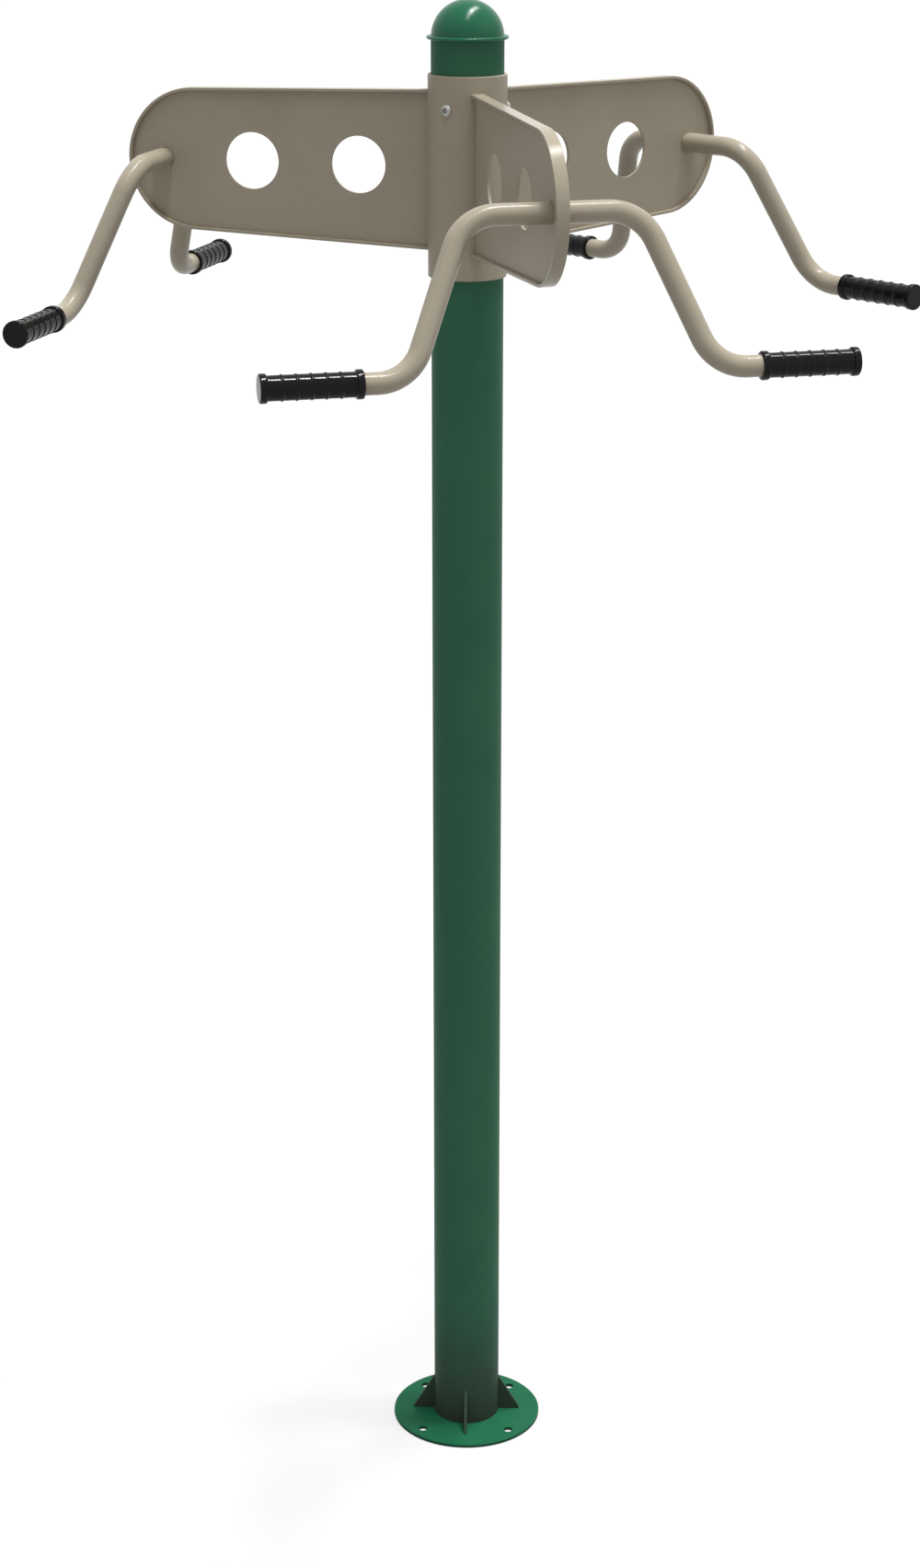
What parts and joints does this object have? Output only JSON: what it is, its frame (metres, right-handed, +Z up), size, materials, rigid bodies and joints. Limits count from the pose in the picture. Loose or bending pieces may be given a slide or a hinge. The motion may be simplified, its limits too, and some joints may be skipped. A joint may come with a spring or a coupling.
{
  "type": "outdoor triple pull-up bar",
  "caption": "Ground-mounted steel post with a dome cap and a bolted head whose rimmed radial fins each carry a bent pull-up bar with ribbed rubber grips.",
  "frame": {"origin": "centre of the base flange's underside, on the ground and on the post's axis", "axes": "+Z up along the post; gussets stand on the X and Y axes; the fins point to 45, 165 and 285 degrees from +X towards +Y; -Y is the pictured side"},
  "size_m": [1.4268, 1.4268, 2.458],
  "materials": {
    "post_paint": "satin dark green powder coat",
    "head_paint": "satin taupe powder coat",
    "cap_plastic": "glossy green moulded plastic",
    "grip_rubber": "matt black moulded rubber",
    "fastener_steel": "plain stainless steel"
  },
  "bodies": {
    "root": {"post_tube": "post_paint", "base_flange": "post_paint", "right_gusset": "post_paint", "back_gusset": "post_paint", "left_gusset": "post_paint", "front_gusset": "post_paint", "dome_cap": "cap_plastic", "head_sleeve": "head_paint", "sleeve_bolts": "fastener_steel", "post_rivet_nuts": "fastener_steel", "front_fin_web": "head_paint", "front_fin_rim": "head_paint", "front_bar_tube": "head_paint", "front_bar_left_grip": "grip_rubber", "front_bar_right_grip": "grip_rubber", "left_fin_web": "head_paint", "left_fin_rim": "head_paint", "left_bar_tube": "head_paint", "left_bar_left_grip": "grip_rubber", "left_bar_right_grip": "grip_rubber", "right_fin_web": "head_paint", "right_fin_rim": "head_paint", "right_bar_tube": "head_paint", "right_bar_left_grip": "grip_rubber", "right_bar_right_grip": "grip_rubber"}
  },
  "joints": []
}
